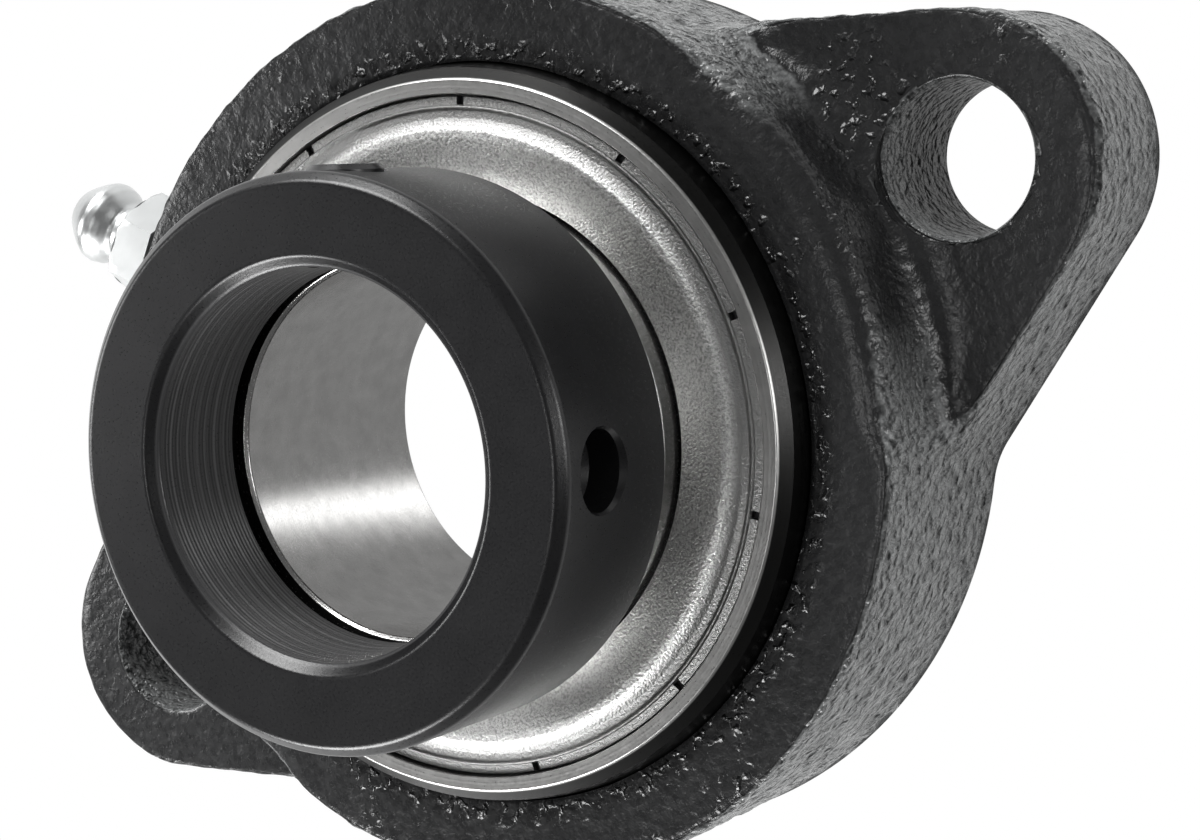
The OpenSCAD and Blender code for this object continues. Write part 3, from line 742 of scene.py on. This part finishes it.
def maths(tree, operation, first, *others):
    """One operation on sockets or numbers: on the first alone, or with each other one in turn."""
    for other in others or [None]:
        made = node(tree, "ShaderNodeMath", operation=operation)
        feed(tree, made, {0: first} if other is None else {0: first, 1: other})
        first = made.outputs["Value"]
    return first


def weighted(tree, *parts):
    """The sum of sockets, each times its own weight."""
    return maths(tree, "ADD", *[maths(tree, "MULTIPLY", socket, weight) for socket, weight in parts])


def two_colors(tree, factor, low, high):
    """A colour between two, each a colour or a socket, by a factor."""
    made = node(tree, "ShaderNodeMix", [("Factor", factor)], data_type="RGBA")
    ends = [color if hasattr(color, "is_linked") else (*color, 1) for color in (low, high)]
    feed(tree, made, {6: ends[0], 7: ends[1]})
    return made.outputs[2]


def bump(tree, height, distance, strength=1.0):
    """A bump of that distance in metres where height is 1."""
    links = [("Height", height)]
    made = node(tree, "ShaderNodeBump", links, Distance=distance, Strength=strength)
    return made.outputs["Normal"]


def from_shaft(tree, where):
    """How far a place is from the shaft's line, sqrt(x^2 + y^2), and its height."""
    split = node(tree, "ShaderNodeSeparateXYZ", [("Vector", where)])
    x, y, z = (split.outputs[k] for k in "XYZ")
    return maths(tree, "SQRT", weighted(tree, (x, x), (y, y))), z


# %% [markdown]
# ### Black paint on sand-cast iron
# The paint is thin and follows the sand: flat faces look almost smooth, side walls keep a hammered
# ripple, and the edge round the seat carries drops where the cutter broke through. The maps made
# with the skin say which is where, and noise of several sizes gives the relief.

# %% Paint: where each surface lies
RIPPLES = 1150  # ripples a metre, which is one in 0.9 mm
paint, tree, shader = finish("black_casting_paint", (0.012, 0.012, 0.013), 0.0, 0.42, 0.33)
where = place(tree)
sides, rim_here, sheltered = (
    node(tree, "ShaderNodeAttribute", attribute_name=name).outputs["Fac"]
    for name in ("sides", "rim", "sheltered"))
open_side = maths(tree, "SUBTRACT", 1.0, sheltered)
ripples = noise(tree, where, RIPPLES, 2.0)
uneven = noise(tree, where, 900)

# %% Paint: relief
grit = noise(tree, where, 3000, 3, 0.62)
drops = ramp(tree, noise(tree, where, 1100, 1.5), 0.55, 0.75)
patches = ramp(tree, noise(tree, where, 85, 2, 0.6), 0.56, 0.64)
side_height = maths(tree, "MULTIPLY", ripples, sides, ramp(tree, open_side, 0.0, 1.0, 0.2, 1.0))
with_drops = weighted(tree, (rim_here, 0.17), (patches, 0.11))
face_height = weighted(tree, (uneven, 0.07), (grit, 0.02), (drops, with_drops))
feed(tree, shader, {"Normal": bump(tree, maths(tree, "ADD", side_height, face_height), 0.0016)})

# %% [markdown]
# A wall's ripples look like hammered metal: each is light on the side that faces up and dark on
# the side that faces down. Comparing the noise with itself a little lower gives that slope, and
# putting it in the colour as painted light and painted shade keeps the look of it in soft light
# too. The grey of the walls as a whole is a painted reflection of the white table, which the
# faces and the walls above a lug don't get.

# %% Paint: colour and gloss
LOOK_BELOW = -0.0003
# a wall's colours: painted shade, and painted light that stands for the white table's reflection
WALL_PAINTED_SHADE, WALL_PAINTED_LIGHT = (0.012, 0.0125, 0.013), (0.235, 0.241, 0.241)
# painted shade for the face beside the seat's rim, and the black paint of the faces
RIM_PAINTED_SHADE, FACE = (0.003, 0.003, 0.0032), (0.0132, 0.0134, 0.0138)
below = node(tree, "ShaderNodeMapping", [("Vector", where)], Location=(0, 0, LOOK_BELOW))
slope = maths(tree, "SUBTRACT", ripples, noise(tree, below.outputs["Vector"], RIPPLES, 2.0))
# painted light on ripple slopes that face up, painted shade on those that face down
lit_side = maths(tree, "MULTIPLY", ramp(tree, slope, -0.22, 0.22),
                 ramp(tree, ripples, 0.25, 0.45, 0.6, 1.0))
# random dust on the faces, and painted shade towards the seat's rim
dust_and_rim_shade = maths(tree, "MULTIPLY", ramp(tree, noise(tree, where, 420, 4, 0.6), 0.35, 0.75, 0.75, 1.0),
             maths(tree, "SUBTRACT", 1.0, rim_here))
ragged = maths(tree, "ADD", sides, maths(tree, "MULTIPLY", uneven, 0.5))
# walls above a lug get no painted reflection and keep the faces' black
on_side = maths(tree, "MULTIPLY", ramp(tree, ragged, 0.44, 0.56), open_side)
feed(tree, shader, {
    "Base Color": two_colors(tree, on_side, two_colors(tree, dust_and_rim_shade, RIM_PAINTED_SHADE, FACE),
                             two_colors(tree, lit_side, WALL_PAINTED_SHADE, WALL_PAINTED_LIGHT)),
    "Roughness": ramp(tree, noise(tree, where, 1400, 2), 0.3, 0.7, 0.23, 0.34)})
wear([housing], paint)

# %% [markdown]
# ### Black oxide on turned steel
# Black oxide is a skin a few thousandths thick, so the tool's marks show through it: a faint grain
# outside and round grooves in the bore, which the colour draws paler in uneven rings. Noise that
# is read by height alone gives the grooves, and the distance from the shaft keeps them inside.

# %% Collar finish
GROOVE_STEP = 0.00042
OXIDE, PALER_GREY = (0.0045, 0.0045, 0.005), (0.12, 0.12, 0.122)
oxide, tree, shader = finish("black_oxide_steel", (0.010, 0.010, 0.011), 0.0, 0.38, 0.32)
where = place(tree)
far, z_here = from_shaft(tree, where)
in_bore = ramp(tree, far, (COLLAR_BORE + 0.15) * MM, (COLLAR_BORE + 0.35) * MM, 1.0, 0.0)
groove = maths(tree, "SINE", maths(tree, "MULTIPLY", z_here, 2 * math.pi / GROOVE_STEP))
by_height = node(tree, "ShaderNodeCombineXYZ", [("Z", z_here)]).outputs["Vector"]
scratches = noise(tree, by_height, 1800, 3, 0.6)
grain = noise(tree, where, 5200, 3, 0.6)
bore_height = maths(tree, "MULTIPLY", weighted(tree, (groove, 0.4), (scratches, 1.0)), in_bore)
height = weighted(tree, (bore_height, 0.6), (grain, 0.22))
cloud = ramp(tree, noise(tree, where, 260), 0.3, 0.7)
# the bore drawn paler, more so in uneven rings that follow the grooves
paler_rings = maths(tree, "MULTIPLY", in_bore, ramp(tree, scratches, 0.48, 0.68, 0.22, 1.0))
feed(tree, shader, {
    "Base Color": two_colors(tree, weighted(tree, (cloud, 0.02), (paler_rings, 1.0)), OXIDE, PALER_GREY),
    "Roughness": ramp(tree, grain, 0.3, 0.7, 0.26, 0.36),
    "Normal": bump(tree, height, 0.00005, 0.8)})
wear([collar, nodes["collar_set_screw"]], oxide)

# %% [markdown]
# ### Bare steel
# A grinding wheel leaves very fine lines round the part, and a press leaves sheet with a fine
# grain. Noise that is read by height and by distance from the shaft quickly changes across the
# cut and never along it, and a second noise adds the grain. One function makes every metal here.

# %% Steel finishes
def steel(name, color, roughness, lines, grain, depth, ringed=1.0, specked=0.0, painted_shade=None):
    """Bare metal with fine rings of strength ringed, so many lines and grains a metre, and relief
    of that depth. specked is the share of the colour that the grain takes away. The last
    argument holds a distance from the shaft, the width over which painted shade darkens the metal
    past it, and the share of the colour left."""
    mat, tree, shader = finish(name, color, 1.0, roughness)
    where = place(tree)
    far, z_here = from_shaft(tree, where)
    ring = node(tree, "ShaderNodeCombineXYZ", [("X", far), ("Y", z_here)]).outputs["Vector"]
    cut, speck = noise(tree, ring, lines, 3, 0.65), noise(tree, where, grain, 4, 0.6)
    light = ramp(tree, noise(tree, where, grain / 9, 3, 0.6), 0.3, 0.7)
    if specked:
        light = maths(tree, "MULTIPLY", ramp(tree, light, 0.0, 1.0, 0.85, 1.0),
                      ramp(tree, speck, 0.36, 0.58))
    tone = two_colors(tree, light, tuple(c * (0.82 - specked) for c in color), color)
    if painted_shade:
        # painted shade: past that distance from the shaft the colour falls to its share
        beyond, width, share = painted_shade
        inside = ramp(tree, far, beyond, beyond + width, 1.0, 0.0)
        tone = two_colors(tree, inside, tuple(c * share for c in color), tone)
    gloss = ramp(tree, maths(tree, "ADD", cut, speck), 0.6, 1.4, roughness - 0.07, roughness + 0.09)
    height = weighted(tree, (cut, ringed), (speck, 1.0))
    feed(tree, shader, {"Base Color": tone, "Roughness": gloss,
                        "Normal": bump(tree, height, depth, 0.6)})
    return mat


ground = steel("ground_ring_steel", (0.66, 0.655, 0.645), 0.22, lines=9000, grain=5000,
               depth=0.000004)
polished = steel("polished_ball_steel", (0.70, 0.70, 0.70), 0.12, lines=4000, grain=6000,
                 depth=0.000001)
zinc = steel("zinc_plated_steel", (0.52, 0.53, 0.53), 0.36, lines=5200, grain=1200,
             depth=0.000006)
wear([inner_ring], ground)
wear([nodes[f"ball_{i}"] for i in range(1, 10)]
     + [nodes["nipple_check_ball"], nodes["nipple_spring"]], polished)
wear([grease_nipple], zinc)

# %% [markdown]
# Two metals look darker towards their edge in the photograph, and the finish paints that in as
# painted shade: the shield past its shoulder, and the outer ring where its round outside meets
# the housing. The last value is how much of the colour stays.

# %% Steel with painted shade at its edge
pressed = steel("pressed_shield_steel", (0.47, 0.47, 0.462), 0.35, lines=2600, grain=4600,
                depth=0.00015, ringed=0.2, specked=0.28, painted_shade=(0.0253, 0.0006, 0.36))
shaded_ring_steel = steel("outer_ring_steel", (0.46, 0.458, 0.45), 0.32, lines=9000, grain=5000,
                depth=0.000006, painted_shade=(0.02925, 0.0001, 0.047))
cage = [nodes["cage_front"], nodes["cage_rear"], nodes["cage_rivets"]]
wear([front_shield, rear_shield, *cage], pressed)
wear([outer_ring], shaded_ring_steel)

# %% [markdown]
# ### Nitrile rubber
# The seals are moulded nitrile: matt, nearly black, with a faint bloom that one noise draws in
# both the colour and the bump.

# %% Seal finish
RUBBER, BLOOM = (0.012, 0.012, 0.013), (0.026, 0.026, 0.027)
rubber, tree, shader = finish("nitrile_rubber", (0.016, 0.016, 0.017), 0.0, 0.62)
bloom = noise(tree, place(tree), 900, 4, 0.6)
feed(tree, shader, {"Base Color": two_colors(tree, bloom, RUBBER, BLOOM),
                    "Normal": bump(tree, bloom, 0.00003, 0.5)})
wear([nodes["front_seal"], nodes["rear_seal"]], rubber)

# %% [markdown]
# ## Floor, light and camera
# The part lies on a white table under soft lamps. The table shows white to the camera. In
# reflections it is dimmer, and dimmest close to the part, as paper is in a part's own shadow,
# which lifts the casting's dark walls at a glancing angle without washing them out.

# %% Table
FLOOR_SIZE, FLOOR_Z = 3000, -0.01
NEAR, OPEN = 0.022, 0.036  # where the table starts to brighten and where it is brightest
NEAR_GLOW, OPEN_GLOW = 0.30, 0.58


def flat_square(name, size, height):
    """A level square centred under the part."""
    half = size / 2
    corners = [(-half, -half), (half, -half), (half, half), (-half, half)]
    points = np.array([[x, y, height] for x, y in corners])
    return new_mesh(name, points, np.array([[0, 1, 2, 3]]))


floor = flat_square("floor", FLOOR_SIZE, FLOOR_Z)
table, tree, shader = finish("white_table", (0.8, 0.8, 0.8), 0.0, 0.7)
rays = tree.nodes.new("ShaderNodeLightPath").outputs
reflected = maths(tree, "MAXIMUM", rays["Is Glossy Ray"], rays["Is Transmission Ray"])
from_part = node(tree, "ShaderNodeVectorMath", [("Vector", place(tree))], operation="LENGTH")
from_part = from_part.outputs["Value"]
in_reflection = maths(tree, "MULTIPLY", reflected,
                      ramp(tree, from_part, NEAR, OPEN, NEAR_GLOW, OPEN_GLOW))
shown = maths(tree, "MAXIMUM", rays["Is Camera Ray"], in_reflection)
glow = node(tree, "ShaderNodeEmission", Color=(1, 1, 1, 1), Strength=1.0)
white = node(tree, "ShaderNodeMixShader", [("Fac", shown)])
feed(tree, white, {1: shader.outputs["BSDF"], 2: glow.outputs["Emission"]})
print(f"{floor.name}: {FLOOR_SIZE} mm across, {-FLOOR_Z} mm under the mounting face")

# %% [markdown]
# The bore is a mirror that looks down through its own rear end. Under the bore the table lets
# reflections through to a dim card with one bright strip, which draws the light streak along the
# bore, as a window or a lamp beyond the table would.

# %% Window in the table
WINDOW_IN, WINDOW_OUT = 0.0185, 0.0195
passing = maths(tree, "MAXIMUM", reflected, rays["Is Shadow Ray"])
under_bore = maths(tree, "MULTIPLY", ramp(tree, from_part, WINDOW_IN, WINDOW_OUT, 1.0, 0.0), passing)
clear = node(tree, "ShaderNodeBsdfTransparent")
window = node(tree, "ShaderNodeMixShader", [("Fac", under_bore)])
feed(tree, window, {1: white.outputs["Shader"], 2: clear.outputs["BSDF"]})
feed(tree, tree.nodes["Material Output"], {"Surface": window.outputs["Shader"]})
wear([floor], table)

# %% Card under the bore
CARD_SIZE, CARD_Z = 700, -150
STRIP_X, STRIP_Y, STRIP_SLANT = 0.105, 0.0693, 0.43
CARD_GLOW, STRIP_GLOW = 0.27, 2.6
card = flat_square("bore_card", CARD_SIZE, CARD_Z)
lit, tree, shader = finish("bore_card_light", (0.1, 0.1, 0.1), 0.0, 0.9)
split = node(tree, "ShaderNodeSeparateXYZ", [("Vector", place(tree))]).outputs
slanted = maths(tree, "ADD", split["Y"], maths(tree, "MULTIPLY", split["X"], STRIP_SLANT))
off_x = maths(tree, "ABSOLUTE", maths(tree, "SUBTRACT", split["X"], STRIP_X))
off_y = maths(tree, "ABSOLUTE", maths(tree, "SUBTRACT", slanted, STRIP_Y))
strip = maths(tree, "MULTIPLY", ramp(tree, off_x, 0.045, 0.07, 1.0, 0.0),
              ramp(tree, off_y, 0.009, 0.024, 1.0, 0.0))
feed(tree, shader, {"Emission Color": (1, 1, 1, 1),
                    "Emission Strength": ramp(tree, strip, 0.0, 1.0, CARD_GLOW, STRIP_GLOW)})
wear([card], lit)

# %% [markdown]
# Five soft lamps light the part. The strongest stand behind it and to its left, as windows would,
# the others only fill. A faint white world keeps the deepest corners from going black.

# %% Lamps and world
def lamp(name, at, aim_z, size, power):
    """A square lamp at a place in millimetres, turned to a point on the shaft's line."""
    data = bpy.data.lights.new(name, "AREA")
    data.shape, data.size, data.energy = "SQUARE", size * MM, power
    obj = bpy.data.objects.new(name, data)
    bpy.context.scene.collection.objects.link(obj)
    obj.location = np.array(at) * MM
    towards = Vector((-at[0], -at[1], aim_z - at[2]))
    obj.rotation_euler = towards.to_track_quat("-Z", "Y").to_euler()
    print(f"{name}: {power} W, {towards.length:.0f} mm away")


lamp("key_lamp", (60, 460, 260), 15, size=260, power=4.4)
lamp("left_lamp", (-390, -250, 250), 20, size=240, power=5.0)
lamp("right_lamp", (470, -170, 190), 10, size=160, power=1.0)
lamp("top_lamp", (0, -50, 560), 20, size=110, power=0.35)
lamp("rear_lamp", (-375, 210, 255), 20, size=160, power=1.1)
world = bpy.data.worlds.new("studio")
world.use_nodes = True
bpy.context.scene.world = world
feed(world.node_tree, world.node_tree.nodes["Background"], {"Color": (1, 1, 1, 1), "Strength": 0.13})

# %% [markdown]
# The camera stands where the photographer's did: close, above the collar and a little to the
# right. Its place was worked out from the circles and the bolt holes in the photograph.

# %% Camera
AZIMUTH, POLAR, ROLL = (math.radians(a) for a in (-17.31, 30.55, 11.39))
DISTANCE, AIM = 209.27, np.array([12.97, -4.87, RING_FRONT])
FOCAL_PX, WIDTH_PX, SENSOR = 2646.7, 1200, 36.0
away = math.sin(POLAR) * heading(AZIMUTH) + [0, 0, math.cos(POLAR)]
level = np.cross(-away, [-math.sin(AZIMUTH), math.cos(AZIMUTH), 0])
level /= np.linalg.norm(level)
plumb = np.cross(-away, level)
right = math.cos(ROLL) * level + math.sin(ROLL) * plumb
down = math.cos(ROLL) * plumb - math.sin(ROLL) * level
data = bpy.data.cameras.new("camera")
data.sensor_width, data.lens = SENSOR, FOCAL_PX * SENSOR / WIDTH_PX
data.clip_start = 0.01
camera = bpy.data.objects.new("camera", data)
bpy.context.scene.collection.objects.link(camera)
bpy.context.scene.camera = camera
matrix = np.eye(4)
matrix[:3, :3] = np.column_stack([right, -down, away])
matrix[:3, 3] = (AIM + away * DISTANCE) * MM
camera.matrix_world = Matrix(matrix.tolist())
print("camera at, mm:", np.round(matrix[:3, 3] / MM, 1), "lens", round(data.lens, 2))

# %% [markdown]
# ## View
# The Standard view keeps the colours as they are written.

# %% View
bpy.context.scene.view_settings.view_transform = "Standard"
